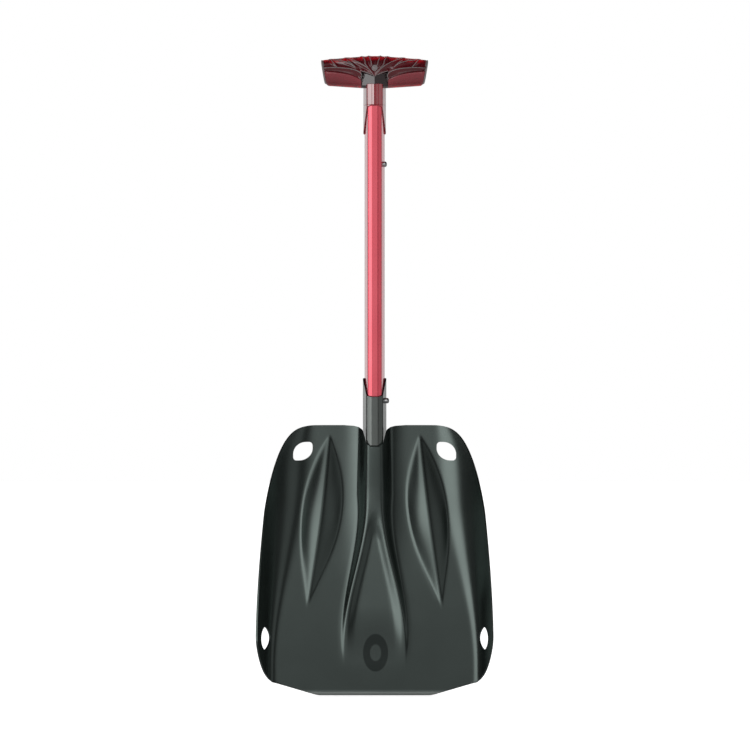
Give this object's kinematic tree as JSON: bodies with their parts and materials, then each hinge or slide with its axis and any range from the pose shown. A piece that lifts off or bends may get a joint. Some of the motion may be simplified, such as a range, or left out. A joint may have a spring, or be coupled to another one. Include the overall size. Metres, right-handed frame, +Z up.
{
  "type": "avalanche shovel",
  "caption": "Telescoping snow shovel with a ribbed pressed alloy scoop, trapezoid shaft, sprung lock buttons and a T-grip.",
  "frame": {"origin": "middle of the blade's cutting edge", "axes": "+Z up the shaft from the cutting edge to the grip, +X to the right seen from the scoop side, the scoop side faces -Y"},
  "size_m": [0.2506, 0.0759, 0.6786],
  "materials": {
    "blade_alloy": "dark grey-green satin anodised",
    "socket_alloy": "grey satin anodised",
    "red_alloy": "red satin anodised",
    "shaft_alloy": "clear satin anodised",
    "black_plastic": "moulded",
    "button_steel": "domed and polished",
    "spring_steel": "blued strip",
    "rivet_alloy": "satin, rounded head",
    "grip_core_plastic": "glossy moulded nylon",
    "grip_panel_plastic": "translucent dark red with raised grey lines",
    "grip_trim_plastic": "grey end cap"
  },
  "bodies": {
    "blade_body": {"blade": "blade_alloy", "blade_socket": "socket_alloy", "socket_rivets": "rivet_alloy", "socket_plug": "black_plastic"},
    "lower_shaft_body": {"lower_shaft": "red_alloy", "lower_shaft_plug": "black_plastic", "shaft_bush": "black_plastic", "socket_lock_spring": "spring_steel"},
    "socket_lock_body": {"socket_lock_button": "button_steel"},
    "upper_shaft_body": {"upper_shaft": "shaft_alloy", "upper_shaft_glide": "black_plastic", "collapsed_lock_spring": "spring_steel", "extended_lock_spring": "spring_steel", "grip_core": "grip_core_plastic", "grip_front_shell": "grip_panel_plastic", "grip_rear_shell": "grip_panel_plastic", "grip_left_cap": "grip_trim_plastic", "grip_right_cap": "grip_trim_plastic", "grip_badge": "grip_trim_plastic", "grip_rivet": "rivet_alloy"},
    "collapsed_lock_body": {"collapsed_lock_button": "button_steel"},
    "extended_lock_body": {"extended_lock_button": "button_steel"}
  },
  "joints": [
    {"name": "lower_shaft_slide", "type": "slide", "parent": "blade_body", "child": "lower_shaft_body", "axis": [0, 0, 1], "range_m": [0, 0.1], "deforming": ["socket_lock_button", "socket_lock_spring"]},
    {"name": "upper_shaft_slide", "type": "slide", "parent": "lower_shaft_body", "child": "upper_shaft_body", "axis": [0, 0, 1], "range_m": [0, 0.17], "deforming": ["collapsed_lock_button", "collapsed_lock_spring", "extended_lock_button", "extended_lock_spring"]},
    {"name": "socket_lock_press", "type": "slide", "parent": "lower_shaft_body", "child": "socket_lock_body", "axis": [-0.9892, 0.1465, 0], "range_m": [0, 0.0072], "stiffness_N_per_m": 400, "springref_m": -0.005},
    {"name": "collapsed_lock_press", "type": "slide", "parent": "upper_shaft_body", "child": "collapsed_lock_body", "axis": [-0.9892, 0.1465, 0], "range_m": [0, 0.0069], "stiffness_N_per_m": 400, "springref_m": -0.005},
    {"name": "extended_lock_pop", "type": "slide", "parent": "upper_shaft_body", "child": "extended_lock_body", "axis": [0.9892, -0.1465, 0], "range_m": [0, 0.0069]}
  ],
  "couplings": [
    {"joint": "extended_lock_pop", "follows": "upper_shaft_slide", "ratio": 0.040588}
  ]
}
